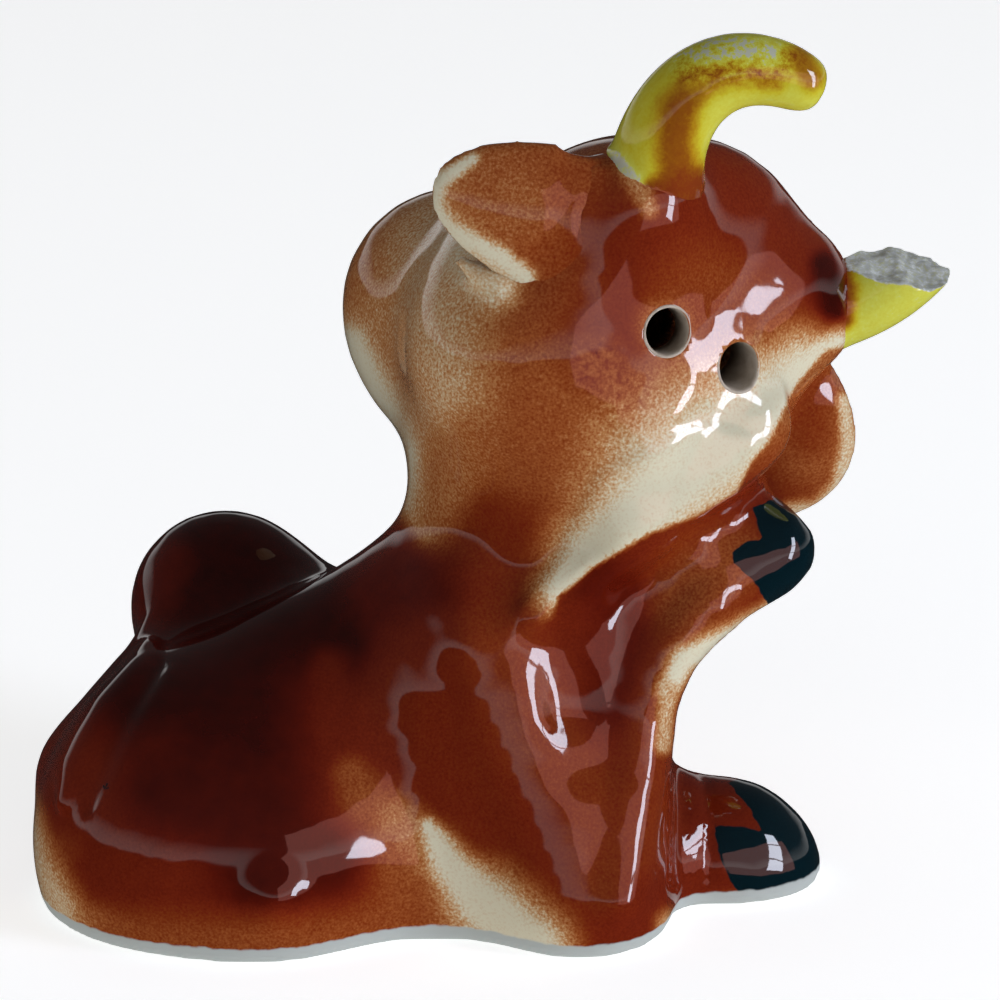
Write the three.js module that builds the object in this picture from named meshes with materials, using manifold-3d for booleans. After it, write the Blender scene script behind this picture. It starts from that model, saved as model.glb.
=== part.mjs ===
// A slip-cast, glazed earthenware pepper shaker in the form of a lying cow that looks back over
// its shoulder and rests its cheek on one raised hoof. Millimetres, +Z up. The rump points along
// -X, the chest along +X and the face along +Y. The casting is one hollow skin of clay. Horns and
// ears are solid and luted on, and a cork closes the fill hole under the foot.

import {
  Box3, BoxGeometry, BufferAttribute, BufferGeometry, CatmullRomCurve3, CylinderGeometry, Euler,
  Group, MathUtils, Matrix4, Mesh, MeshStandardMaterial, Vector3,
} from 'three';
import { edgeTable, triTable } from 'three/addons/objects/MarchingCubes.js';
import { mergeVertices } from 'three/addons/utils/BufferGeometryUtils.js';
import Module from 'manifold-3d';

const wasm = await Module();
wasm.setup();

// Clay
const WALL = 3;             // least thickness of the cast skin
const FLOOR = 3.2;          // thickness under the chamber
const SEAT_GAP = 0.3;       // joint between the casting and a piece luted on to it
const SKIN_FACET = 2;       // facet size outside
const CHAMBER_FACET = 3.2;  // facet size inside
const RING = 16;            // facets round a horn or an ear
const HORN_STEPS = 20;      // facets along the whole horn
const STUB_STEPS = 10;      // facets along the broken horn
const EAR_STEPS = 10;       // facets along an ear
const BORE_SIDES = 20;      // facets round a pour hole
const BUNG_SIDES = 28;      // facets round the fill hole and the cork
const SOFT = 4;             // fillet where a limb meets the body
const NECK_SOFT = 7;        // fillet where the head meets the torso
const TORSO_SOFT = 8;       // fillet between the forms of the torso
const HEAD_SOFT = 6;        // fillet between the forms of the head
const CREST_SOFT = 1.5;     // fillet along the crest of the nape
const POCKET_SOFT = 3;      // rounding of the pocket's rim
const TRIM = 3;             // depth of clay below the foot that is trimmed off flat
const SLAB = { length: 120, width: 80, depth: 8 };  // what trims it off

// How near a corner of a facet may lie to its grid cube's corner, how far it settles, and where
// the slope of a form is measured
const EDGE_SHARE = 0.2;
const SETTLE_SHARE = 0.3;
const SLOPE_STEP = 0.02;

// Torso: a barrel from rump to chest on a wider foot, with a neck rising from the chest
const RUMP = { at: [-22.5, -2, 8.4], radius: 11.5 };
const CHEST = { at: [-2.5, -2, 12.5], radius: 12.3 };
const FOOT = { rear: [-22.5, -2.5, 0.5], front: [-0.5, -2.5, 0.5], radius: 14 };
const HAUNCH = { at: [-23.5, -9, 5.5], radii: [13.4, 11, 13] };
const NECK = { from: [2, -1, 20], to: [8.2, -2, 39], radius: 10.2, topRadius: 10.8 };
const WITHERS = { from: [-13, 0, 15.4], to: [-2, -1, 22.5], radius: 7.4, endRadius: 8 };
const CREST = { line: [[19, -7, 41], [10.5, -10.6, 34.5], [3, -13, 27]], radii: [4.5, 3.6, 2.2] };

// Legs, each from its root to its end
const NEAR_KNEE = { from: [-19, -12.6, 1], to: [-17, -12.6, 7], radius: 7.7, endRadius: 7 };
const FAR_HIP = { at: [-20, 8, 10], radius: 10 };
const FAR_KNEE = { at: [-23.5, 11.5, 18.3], radius: 7.6 };
const FAR_THIGH = { to: [-11, 6, 13.5], radius: 6.6, endRadius: 7 };
const FAR_SHANK = { from: [-23, 13, 15], to: [-13, 14.5, 2.5], radius: 6, endRadius: 4.5 };
const SHOULDER = { at: [0, -7, 20], radius: 9 };
const ELBOW = { at: [6.4, -12.8, 3], radius: 7.9, forearmRadius: 4.6 };
const WRIST = { at: [9.8, -9, 24.7], radius: 4.9 };
const RAISED_HOOF = { at: [21.9, -6, 29.9], radius: 3.8 };
const LYING_LEG = { from: [7, -4, 2.8], to: [18.5, -4, 2.8], radius: 7.8, endRadius: 5.6 };
const LYING_HOOF = { at: [20.2, -4, 0.9], radii: [6.7, 5.2, 5.3] };
const ARM_POCKET = { from: [11.6, -15.6, 29], to: [8.6, -18.4, 17.5], radius: 4.6, endRadius: 3.2 };
const TAIL = { root: [-28.5, 3, 16.5], bend: [-34.8, -1, 8.5], tip: [-33, -10, 2.5], radius: 2.4 };

// Head: in its own frame X is to the side, Y towards the muzzle and Z towards the poll
const HEAD = { at: [11.5, 0, 49.8], turn: 34, nod: 2, roll: 35.5 };
const CRANIUM = { at: [0, 1, -1], radii: [13.5, 8.5, 11.5] };
const POLL = { at: [0, -3.5, 3.5], radii: [11.8, 6.3, 10] };
const TEMPLE = { side: 9, at: [-3, 1.5], radius: 5.8 };
const CHEEK = { side: 8.5, at: [0, -9.5], radius: 7.8 };
const THROAT = { at: [0, 3, -9], radii: [12.5, 11, 9] };
const MUZZLE = { forward: 19.8, down: 7.6, width: 9.8, length: 8, height: 8.6 };
const SNOUT = { from: [0, 6, -5], radius: 10.5, endRadius: 7.4, overlap: 3 };
const JOWL = { from: [3, 1, -5], to: [2.5, 14, -8], radius: 10, endRadius: 8.4 };
const JAW = { from: [0, 14, -12], to: [0, 6, -15], radius: 5.6, endRadius: 6.4 };
const EYE = { side: 7, forward: 8.6, up: -1, radius: 3.4 };
const PEDICLE = { from: [7.6, -4.3, 3.3], to: [10.6, -6.8, 5.8], radius: 5, endRadius: 3.7 };

// Openings and the cork
const POUR_HOLE = { radius: 1.9, inside: 7.5, outside: 5 };
const POUR_HOLES = [
  { mouth: [-5, -10.5, -2.4], turn: -18 },
  { mouth: [1.9, -11, -1.8], turn: 0 },
];
const FILL_HOLE = { at: [-12, -1], radius: 6.5, taper: 0.08 };
const STOPPER = { recess: 1.2, height: 8, clearance: 0.2 };

// Horns, from their roots on the head, and the fracture across the broken one
const HORN = {
  side: 11.6, back: 6.8, up: 6.8, radius: 4, tipRadius: 2.3, stubRadius: 3.3,
  stubEndRadius: 3.4,
  roundOff: 0.1, bluntness: 0.75,
};
const HORN_BENDS = [
  [1.1, 2.2, -3], [1, 1.2, -1], [1.1, 0.5, 1], [1.6, 0.1, 3.4], [2.9, 0, 6.1],
  [5.1, 0, 8.1], [7.8, 0, 8.9], [10.5, 0, 8.5], [12.5, 0, 7.5], [13.3, 0, 7],
];
const STUB_BENDS = [
  [-3.5, 0, -1], [0, 0, -0.6], [3, 0, 0.4], [6, 0, 2.4], [8.2, 0, 4.9], [9.6, 0, 8],
];
const FRACTURE = { out: 5, up: 3.1, tilt: 12, across: 20 };

// Ears, from root to tip in the head's frame
const EAR = { halfWidth: 5.8, thickness: 2, cup: 1.1, arch: 1.8, blunt: 0.02 };
const NEAR_EAR = {
  root: [-5.5, -9, 3.2], tip: [-23.6, 0.6, -1.9], facing: [0, -1, 0.2], fullest: 0.45,
};
const HANGING_EAR = {
  root: [11.8, -5.5, 3.5], tip: [22, -3.3, -10], facing: [0.2, -1, 0.1], fullest: 0.6,
};

/** Distance to an egg shape: negative inside the clay and zero on its surface. */
function lump([cx, cy, cz], [rx, ry, rz]) {
  return (x, y, z) => {
    const u = (x - cx) / rx;
    const v = (y - cy) / ry;
    const w = (z - cz) / rz;
    const near = Math.hypot(u, v, w);
    const steep = Math.hypot(u / rx, v / ry, w / rz);
    return steep === 0 ? -Math.min(rx, ry, rz) : near * (near - 1) / steep;
  };
}

const ball = ({ at, radius }) => lump(at, [radius, radius, radius]);

/** Distance to a limb with round ends, each end with its own radius. */
function limb([ax, ay, az], [bx, by, bz], startRadius, endRadius) {
  const [dx, dy, dz] = [bx - ax, by - ay, bz - az];
  const lengthSquared = dx * dx + dy * dy + dz * dz;
  return (x, y, z) => {
    const along = ((x - ax) * dx + (y - ay) * dy + (z - az) * dz) / lengthSquared;
    const share = MathUtils.clamp(along, 0, 1);
    const reach = Math.hypot(x - ax - share * dx, y - ay - share * dy, z - az - share * dz);
    return reach - MathUtils.lerp(startRadius, endRadius, share);
  };
}

/** The lesser of two distances, with a soft fillet as wide as the blend. */
function softMin(a, b, blend) {
  const overlap = Math.max(blend - Math.abs(a - b), 0) / blend;
  return Math.min(a, b) - overlap * overlap * blend / 4;
}

/** Lumps pressed together like clay, with a soft fillet where they meet. */
function pressed(blend, [first, ...others]) {
  return (x, y, z) => others.reduce(
    (nearest, form) => softMin(nearest, form(x, y, z), blend),
    first(x, y, z),
  );
}

/** A form with a soft hollow pressed into it. */
function hollowed(blend, form, tool) {
  return (x, y, z) => -softMin(-form(x, y, z), tool(x, y, z), blend);
}

/** A form that was made in its own frame, set in place. */
function placed(matrix, form) {
  const inverse = matrix.clone().invert();
  const point = new Vector3();
  return (x, y, z) => {
    point.set(x, y, z).applyMatrix4(inverse);
    return form(point.x, point.y, point.z);
  };
}

const headFrame = new Matrix4()
  .makeRotationFromEuler(new Euler(
    ...[HEAD.nod, HEAD.roll, HEAD.turn].map(MathUtils.degToRad),
    'ZXY',
  ))
  .setPosition(...HEAD.at);

const onHead = (place) => new Vector3(...place).applyMatrix4(headFrame);

/** The same form on the left and on the right of the head. */
const onBothSides = (make) => [-1, 1].map(make);

function torso() {
  return pressed(TORSO_SOFT, [
    limb(RUMP.at, CHEST.at, RUMP.radius, CHEST.radius),
    limb(FOOT.rear, FOOT.front, FOOT.radius, FOOT.radius),
    lump(HAUNCH.at, HAUNCH.radii),
    limb(NECK.from, NECK.to, NECK.radius, NECK.topRadius),
    limb(WITHERS.from, WITHERS.to, WITHERS.radius, WITHERS.endRadius),
  ]);
}

function head() {
  const muzzle = [0, MUZZLE.forward, -MUZZLE.down];
  const bridge = [0, MUZZLE.forward - SNOUT.overlap, -MUZZLE.down];
  const skull = pressed(HEAD_SOFT, [
    lump(CRANIUM.at, CRANIUM.radii),
    lump(POLL.at, POLL.radii),
    ...onBothSides((side) => ball({ at: [side * TEMPLE.side, ...TEMPLE.at], radius: TEMPLE.radius })),
    ...onBothSides((side) => ball({ at: [side * CHEEK.side, ...CHEEK.at], radius: CHEEK.radius })),
    lump(THROAT.at, THROAT.radii),
    limb(SNOUT.from, bridge, SNOUT.radius, SNOUT.endRadius),
    ...onBothSides((side) => limb(
      [side * JOWL.from[0], JOWL.from[1], JOWL.from[2]],
      [side * JOWL.to[0], JOWL.to[1], JOWL.to[2]],
      JOWL.radius,
      JOWL.endRadius,
    )),
    limb(JAW.from, JAW.to, JAW.radius, JAW.endRadius),
    lump(muzzle, [MUZZLE.width, MUZZLE.length, MUZZLE.height]),
  ]);
  const pedicles = onBothSides((side) => limb(
    [side * PEDICLE.from[0], PEDICLE.from[1], PEDICLE.from[2]],
    [side * PEDICLE.to[0], PEDICLE.to[1], PEDICLE.to[2]],
    PEDICLE.radius,
    PEDICLE.endRadius,
  ));
  const eyes = onBothSides((side) => ball({
    at: [side * EYE.side, EYE.forward, EYE.up], radius: EYE.radius,
  }));
  return placed(headFrame, pressed(SOFT, [skull, ...pedicles, ...eyes]));
}

function hindLegs() {
  return [
    limb(NEAR_KNEE.from, NEAR_KNEE.to, NEAR_KNEE.radius, NEAR_KNEE.endRadius),
    limb(FAR_HIP.at, FAR_KNEE.at, FAR_HIP.radius, FAR_KNEE.radius),
    limb(FAR_KNEE.at, FAR_THIGH.to, FAR_THIGH.radius, FAR_THIGH.endRadius),
    limb(FAR_SHANK.from, FAR_SHANK.to, FAR_SHANK.radius, FAR_SHANK.endRadius),
  ];
}

function forelegs() {
  return [
    limb(SHOULDER.at, ELBOW.at, SHOULDER.radius, ELBOW.radius),
    limb(ELBOW.at, WRIST.at, ELBOW.forearmRadius, WRIST.radius),
    limb(WRIST.at, RAISED_HOOF.at, WRIST.radius, RAISED_HOOF.radius),
    limb(LYING_LEG.from, LYING_LEG.to, LYING_LEG.radius, LYING_LEG.endRadius),
    lump(LYING_HOOF.at, LYING_HOOF.radii),
  ];
}

function tail() {
  return [
    limb(TAIL.root, TAIL.bend, TAIL.radius, TAIL.radius),
    limb(TAIL.bend, TAIL.tip, TAIL.radius, TAIL.radius),
  ];
}

const core = pressed(NECK_SOFT, [torso(), head()]);
const limbs = pressed(SOFT, [core, ...hindLegs(), ...forelegs(), ...tail()]);
const crest = [0, 1].map((n) => limb(
  CREST.line[n], CREST.line[n + 1], CREST.radii[n], CREST.radii[n + 1],
));
const pocket = limb(ARM_POCKET.from, ARM_POCKET.to, ARM_POCKET.radius, ARM_POCKET.endRadius);
const modelled = pressed(CREST_SOFT, [hollowed(POCKET_SOFT, limbs, pocket), ...crest]);
const cow = (x, y, z) => Math.max(modelled(x, y, z), -TRIM - z);
const chamber = (x, y, z) => -softMin(-core(x, y, z) - WALL, z - FLOOR, WALL);

/** Moves a point on to the surface of a form, by no more than the given reach. */
function settled(form, point, reach) {
  const step = SLOPE_STEP;
  const start = point.clone();
  for (let pass = 0; pass < 3; pass += 1) {
    const { x, y, z } = point;
    const depth = form(x, y, z);
    const slope = new Vector3(
      form(x + step, y, z) - form(x - step, y, z),
      form(x, y + step, z) - form(x, y - step, z),
      form(x, y, z + step) - form(x, y, z - step),
    ).divideScalar(2 * step);
    point.addScaledVector(slope, -depth / Math.max(slope.lengthSq(), step));
    point.sub(start).clampLength(0, reach).add(start);
  }
  return point;
}

/** A grid of cubes over the whole cow, wide enough for the largest limb. */
function gridOver(facet) {
  const margin = WALL + FOOT.radius;
  const span = new Box3().setFromPoints([
    FOOT.rear, HAUNCH.at, FAR_KNEE.at, RAISED_HOOF.at, LYING_HOOF.at, HEAD.at, [0, 0, -TRIM],
  ].map((place) => new Vector3(...place)));
  span.expandByPoint(onHead([0, MUZZLE.forward, -MUZZLE.down]));
  span.expandByScalar(margin);
  span.min.z = -TRIM - facet;
  const counts = span.getSize(new Vector3()).divideScalar(facet).ceil().addScalar(1).toArray();
  const place = (i, j, k) => span.min.toArray().map((low, axis) => low + [i, j, k][axis] * facet);
  return { counts, place, stride: [1, counts[0], counts[0] * counts[1]] };
}

// Corners of a grid cube, and its edges as pairs of corners, in the order of the lookup tables
const CORNERS = [
  [0, 0, 0], [1, 0, 0], [1, 1, 0], [0, 1, 0], [0, 0, 1], [1, 0, 1], [1, 1, 1], [0, 1, 1],
];
const EDGES = [
  [0, 1], [1, 2], [3, 2], [0, 3], [4, 5], [5, 6], [7, 6], [4, 7], [0, 4], [1, 5], [2, 6], [3, 7],
];

/** The closed faceted skin of a form, found cube by cube. */
function skinOf(form, facet) {
  const { counts, place, stride } = gridOver(facet);
  const indexOf = (i, j, k) => i + j * stride[1] + k * stride[2];
  const depths = new Float64Array(counts[0] * counts[1] * counts[2]);
  for (let k = 0; k < counts[2]; k += 1) {
    for (let j = 0; j < counts[1]; j += 1) {
      for (let i = 0; i < counts[0]; i += 1) {
        depths[indexOf(i, j, k)] = form(...place(i, j, k));
      }
    }
  }

  const points = [];
  const known = new Map();
  const faces = [];

  function pointOn(edge, cube) {
    const [near, far] = EDGES[edge].map((corner) => CORNERS[corner]);
    const axis = near.findIndex((value, n) => value !== far[n]);
    const from = cube.map((value, n) => value + near[n]);
    const start = indexOf(...from);
    const key = start * 3 + axis;
    if (!known.has(key)) {
      const share = depths[start] / (depths[start] - depths[start + stride[axis]]);
      const point = new Vector3(...place(...from));
      const shift = facet * MathUtils.clamp(share, EDGE_SHARE, 1 - EDGE_SHARE);
      point.setComponent(axis, point.getComponent(axis) + shift);
      known.set(key, points.length);
      points.push(settled(form, point, facet * SETTLE_SHARE));
    }
    return known.get(key);
  }

  for (let k = 0; k < counts[2] - 1; k += 1) {
    for (let j = 0; j < counts[1] - 1; j += 1) {
      for (let i = 0; i < counts[0] - 1; i += 1) {
        const outside = ([u, v, w]) => depths[indexOf(i + u, j + v, k + w)] > 0;
        const kind = CORNERS.reduce((bits, corner, n) => bits | (outside(corner) ? 1 << n : 0), 0);
        for (let n = kind * 16; edgeTable[kind] !== 0 && triTable[n] !== -1; n += 1) {
          faces.push(pointOn(triTable[n], [i, j, k]));
        }
      }
    }
  }
  const geometry = new BufferGeometry().setFromPoints(points);
  geometry.setIndex(faces);
  return geometry;
}

/** A solid from a closed geometry. */
function solidOf(geometry) {
  const bare = geometry.clone();
  bare.deleteAttribute('normal');
  bare.deleteAttribute('uv');
  const welded = mergeVertices(bare, 1e-5);
  return new wasm.Manifold(new wasm.Mesh({
    numProp: 3,
    vertProperties: new Float32Array(welded.attributes.position.array),
    triVerts: new Uint32Array(welded.index.array),
  }));
}

/** A geometry from a solid. */
function geometryOf(solid) {
  const { vertProperties, triVerts } = solid.getMesh();
  const geometry = new BufferGeometry();
  geometry.setAttribute('position', new BufferAttribute(vertProperties, 3));
  geometry.setIndex(new BufferAttribute(triVerts, 1));
  geometry.computeVertexNormals();
  return geometry;
}

/** A closed loft through rings of points, each ring with as many points as the next. */
function loft(rings) {
  const perRing = rings[0].length;
  const points = rings.flat();
  const faces = [];
  const pairs = Array.from({ length: perRing }, (_, n) => [n, (n + 1) % perRing]);
  for (let low = 0; low < points.length - perRing; low += perRing) {
    for (const [a, b] of pairs) {
      faces.push(low + a, low + b, low + b + perRing, low + a, low + b + perRing, low + a + perRing);
    }
  }
  const last = points.length - perRing;
  const middleOf = (ring) => ring.reduce((sum, point) => sum.add(point), new Vector3())
    .divideScalar(perRing);
  points.push(middleOf(rings[0]), middleOf(rings.at(-1)));
  for (const [a, b] of pairs) {
    faces.push(points.length - 2, b, a, points.length - 1, last + a, last + b);
  }
  const geometry = new BufferGeometry().setFromPoints(points);
  geometry.setIndex(faces);
  return geometry;
}

/** A ring of points round a place, at a reach along each of two directions. */
function ringRound(middle, across, normal, sides, reachAt) {
  return Array.from({ length: sides }, (_, n) => {
    const [side, lift] = reachAt(2 * Math.PI * n / sides);
    return middle.clone().addScaledVector(across, side).addScaledVector(normal, lift);
  });
}

/** A solid rod along a curve, with its radius given for each share of its length. */
function taperedRod(curve, radiusAt, steps) {
  const { normals, binormals } = curve.computeFrenetFrames(steps);
  return loft(normals.map((normal, step) => {
    const radius = radiusAt(step / steps);
    const round = (angle) => [radius * Math.cos(angle), radius * Math.sin(angle)];
    return ringRound(curve.getPointAt(step / steps), normal, binormals[step], RING, round);
  }));
}

/** An ear: a leaf from root to tip, thin at its edges and cupped across. */
function leaf({ root, tip, facing, fullest }) {
  const from = onHead(root);
  const to = onHead(tip);
  const along = to.clone().sub(from).normalize();
  const across = new Vector3(...facing).cross(along).normalize();
  const normal = along.clone().cross(across);
  return loft(Array.from({ length: EAR_STEPS + 1 }, (_, step) => {
    const share = MathUtils.lerp(EAR.blunt, 1 - EAR.blunt, step / EAR_STEPS);
    const skew = share ** (Math.log(0.5) / Math.log(fullest));
    const reach = EAR.halfWidth * Math.sqrt(1 - (2 * skew - 1) ** 2);
    const half = EAR.thickness / 2 * Math.sqrt(1 - (2 * share - 1) ** 2);
    const dip = EAR.cup * reach / EAR.halfWidth;
    const rise = EAR.arch * Math.sin(Math.PI * share);
    const oval = (angle) => [
      reach * Math.cos(angle), half * Math.sin(angle) - dip * Math.cos(angle) ** 2,
    ];
    const middle = from.clone().lerp(to, share).addScaledVector(normal, rise);
    return ringRound(middle, across, normal, RING, oval);
  }));
}

/** A round tapered bung in the fill hole, between two heights. */
function bung(low, high, clearance) {
  const radiusAt = (height) => FILL_HOLE.radius - clearance - FILL_HOLE.taper * height;
  const geometry = new CylinderGeometry(radiusAt(high), radiusAt(low), high - low, BUNG_SIDES);
  geometry.rotateX(Math.PI / 2);
  geometry.translate(...FILL_HOLE.at, (low + high) / 2);
  return solidOf(geometry);
}

/** The bore of a pour hole, from outside its mouth into the chamber. */
function pourBore({ mouth, turn }) {
  const { radius, inside, outside } = POUR_HOLE;
  const bore = new CylinderGeometry(radius, radius, inside + outside, BORE_SIDES);
  bore.translate(0, (inside - outside) / 2, 0);
  bore.rotateZ(MathUtils.degToRad(turn));
  bore.translate(...mouth);
  return solidOf(bore.applyMatrix4(headFrame));
}

function castBody() {
  const slab = new BoxGeometry(SLAB.length, SLAB.width, SLAB.depth);
  slab.translate(0, 0, -SLAB.depth / 2);
  return [
    solidOf(slab),
    solidOf(skinOf(chamber, CHAMBER_FACET)),
    bung(-TRIM, FLOOR + WALL, 0),
    ...POUR_HOLES.map(pourBore),
  ].reduce((body, tool) => body.subtract(tool), solidOf(skinOf(cow, SKIN_FACET)));
}

const seat = solidOf(skinOf((x, y, z) => cow(x, y, z) - SEAT_GAP, SKIN_FACET));

/** What a luted piece shows outside the casting. */
const luted = (geometry) => solidOf(geometry).subtract(seat);

/** A horn's centreline, from its root on one side of the head. */
function hornLine(side, bends) {
  const root = onHead([side * HORN.side, -HORN.back, HORN.up]);
  return new CatmullRomCurve3(bends.map((bend) => root.clone().add(new Vector3(...bend))));
}

function hornWhole() {
  const nearTip = (share) => Math.max(0, (share - 1 + HORN.roundOff) / HORN.roundOff);
  const radiusAt = (share) => MathUtils.lerp(HORN.radius, HORN.tipRadius, share)
    * Math.sqrt(1 - HORN.bluntness * nearTip(share) ** 2);
  return luted(taperedRod(hornLine(-1, HORN_BENDS), radiusAt, HORN_STEPS));
}

function hornStub() {
  const root = onHead([HORN.side, -HORN.back, HORN.up]);
  const radiusAt = (share) => MathUtils.lerp(HORN.stubRadius, HORN.stubEndRadius, share);
  const lost = new BoxGeometry(FRACTURE.across, FRACTURE.across, FRACTURE.across);
  lost.translate(0, 0, FRACTURE.across / 2);
  lost.rotateY(MathUtils.degToRad(FRACTURE.tilt));
  lost.translate(root.x + FRACTURE.out, root.y, root.z + FRACTURE.up);
  return luted(taperedRod(hornLine(1, STUB_BENDS), radiusAt, STUB_STEPS)).subtract(solidOf(lost));
}

const earNear = () => luted(leaf(NEAR_EAR));
const earHanging = () => luted(leaf(HANGING_EAR));
const stopper = () => bung(STOPPER.recess, STOPPER.recess + STOPPER.height, STOPPER.clearance);

const glazed = (color) => new MeshStandardMaterial({ color, roughness: 0.12, metalness: 0 });
const PIECES = [
  ['cast_body', castBody, glazed('#7a3418')],
  ['horn_whole', hornWhole, glazed('#c2b417')],
  ['horn_stub', hornStub, glazed('#c8bf22')],
  ['ear_near', earNear, glazed('#a5603a')],
  ['ear_hanging', earHanging, glazed('#94502c')],
  ['stopper', stopper, new MeshStandardMaterial({ color: '#b98a5a', roughness: 0.9, metalness: 0 })],
];

const shaker = new Group();
for (const [name, make, material] of PIECES) {
  const piece = new Mesh(geometryOf(make()), material);
  piece.name = name;
  shaker.add(piece);
}

// The origin is under the middle of the whole cow
const middle = new Box3().setFromObject(shaker).getCenter(new Vector3());
shaker.position.set(-middle.x, -middle.y, 0);

export default shaker;
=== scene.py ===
"""A glazed earthenware cow pepper shaker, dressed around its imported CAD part."""

import math

import bmesh
import bpy
import numpy as np
from mathutils import Matrix, Vector, noise
from mathutils.bvhtree import BVHTree


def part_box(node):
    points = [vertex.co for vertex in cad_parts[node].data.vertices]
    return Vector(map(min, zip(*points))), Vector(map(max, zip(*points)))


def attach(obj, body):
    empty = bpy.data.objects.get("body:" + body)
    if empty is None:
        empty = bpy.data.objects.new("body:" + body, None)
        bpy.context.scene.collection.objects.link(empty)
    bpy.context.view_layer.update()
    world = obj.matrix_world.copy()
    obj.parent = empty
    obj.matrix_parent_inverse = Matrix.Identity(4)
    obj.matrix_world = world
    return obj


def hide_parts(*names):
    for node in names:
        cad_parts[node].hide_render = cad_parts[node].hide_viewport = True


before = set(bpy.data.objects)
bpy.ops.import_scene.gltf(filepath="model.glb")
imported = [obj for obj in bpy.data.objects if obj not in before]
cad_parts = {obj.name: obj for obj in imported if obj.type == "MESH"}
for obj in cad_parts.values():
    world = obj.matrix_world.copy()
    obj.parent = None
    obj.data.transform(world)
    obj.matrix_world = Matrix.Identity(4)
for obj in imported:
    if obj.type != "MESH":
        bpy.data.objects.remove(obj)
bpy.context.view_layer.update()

# Places are in millimetres in the potter's frame, whose origin is set by the fill hole
MM = 0.001
FILL_HOLE = (-12, -1)
hole_low, hole_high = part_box("stopper")
SHIFT = Vector((
    (hole_low.x + hole_high.x) / 2 - FILL_HOLE[0] * MM,
    (hole_low.y + hole_high.y) / 2 - FILL_HOLE[1] * MM,
    0,
))

# The head's own frame: X to its right side, Y towards the muzzle and Z towards the poll
HEAD = {"at": (11.5, 0, 49.8), "turn": 34, "nod": 2, "roll": 35.5}
POUR_RADIUS = 1.9
POUR_HOLES = (
    ("pour_lip_left", (-5, -10.5, -2.4), -18),
    ("pour_lip_right", (1.9, -11, -1.8), 0),
)
# The skin round a hole is felt by a ring of rays and then rubbed smooth
MOUTH_RING = {"rays": 16, "spread": 1.5, "above": 20}
MOUTH_RUB = {"reach": 4.2, "rounds": 30}
PLUG = {"radius": 2.3, "depth": 6}
DRILL = {"depth": 7, "above": 3, "sides": 48}

# The view of the photograph
CAMERA = {
    "aim": (0, 0, 32), "elevation": 20, "distance": 350, "nearest": 10,
    "focal": 153.6, "sensor": 36,
}
# The picture's width in pixels, and the size of one on the cow
PICTURE = 1000
PIXEL = CAMERA["distance"] * CAMERA["sensor"] / CAMERA["focal"] / PICTURE

# The spacing of a mesh, and how many rounds of rubbing take the facets out of it
SKIN_MESH = {"voxel": 0.515, "rounds": 12}
BLANK_MESH = {"voxel": 0.4, "rounds": 10}
RUB = 0.5  # how far a round moves a corner towards its neighbours
FAR = 9  # a distance that stands for nowhere near


def spot(x, y, z):
    """A place of the potter's frame, as a point of the row frame."""
    return Vector((x, y, z)) * MM + SHIFT


def turned(degrees, axis, size=3):
    """A turn about an axis."""
    return Matrix.Rotation(math.radians(degrees), size, axis)


def head_turn():
    """How the head's frame is turned."""
    return turned(HEAD["turn"], "Z") @ turned(HEAD["nod"], "X") @ turned(HEAD["roll"], "Y")


def on_head(side, forward, up):
    """A place of the head's frame, in the potter's frame."""
    return Vector(HEAD["at"]) + head_turn() @ Vector((side, forward, up))


def new_object(name, data):
    """A new object in the scene."""
    item = bpy.data.objects.new(name, data)
    bpy.context.scene.collection.objects.link(item)
    return item


def piece_of(shape, name):
    """A new piece from a bmesh."""
    mesh = bpy.data.meshes.new(name)
    shape.to_mesh(mesh)
    shape.free()
    return new_object(name, mesh)


def recipe(name):
    """A new material and its shader."""
    material = bpy.data.materials.new(name)
    material.use_nodes = True
    return material, material.node_tree.nodes["Principled BSDF"]


def fill(material, node, sockets):
    """Gives each socket of a node a number, a colour or another node's output."""
    for socket, value in sockets.items():
        if isinstance(value, bpy.types.NodeSocket):
            material.node_tree.links.new(value, node.inputs[socket])
        else:
            node.inputs[socket].default_value = value


def step(material, kind, sockets=None, **settings):
    """A new node of a material or of the world."""
    node = material.node_tree.nodes.new(kind)
    for setting, value in settings.items():
        setattr(node, setting, value)
    fill(material, node, sockets or {})
    return node


def toned(material, value, tones):
    """The colour of a number on a scale of tones, each a place from 0 to 1 and a colour."""
    ramp = step(material, "ShaderNodeValToRGB", {"Fac": value})
    stops = ramp.color_ramp.elements
    stops.remove(stops[1])
    stops[0].color = (*tones[0][1], 1)
    for place, tone in tones[1:]:
        stops.new(place).color = (*tone, 1)
    return ramp.outputs["Color"]


# Camera, lights and stage

def view_axes():
    """The camera's right, up and forward directions."""
    tilt = math.radians(CAMERA["elevation"])
    right = Vector((1, 0, 0))
    forward = Vector((0, math.cos(tilt), -math.sin(tilt)))
    return right, right.cross(forward), forward


def set_camera():
    """Stands the camera where the photographer's was."""
    data = bpy.data.cameras.new("photograph_view")
    data.lens = CAMERA["focal"]
    data.sensor_width = CAMERA["sensor"]
    data.clip_start = CAMERA["nearest"] * MM
    camera = new_object("photograph_view", data)
    forward = view_axes()[2]
    camera.location = spot(*CAMERA["aim"]) - forward * CAMERA["distance"] * MM
    camera.rotation_euler = forward.to_track_quat("-Z", "Y").to_euler()
    bpy.context.scene.camera = camera


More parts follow.
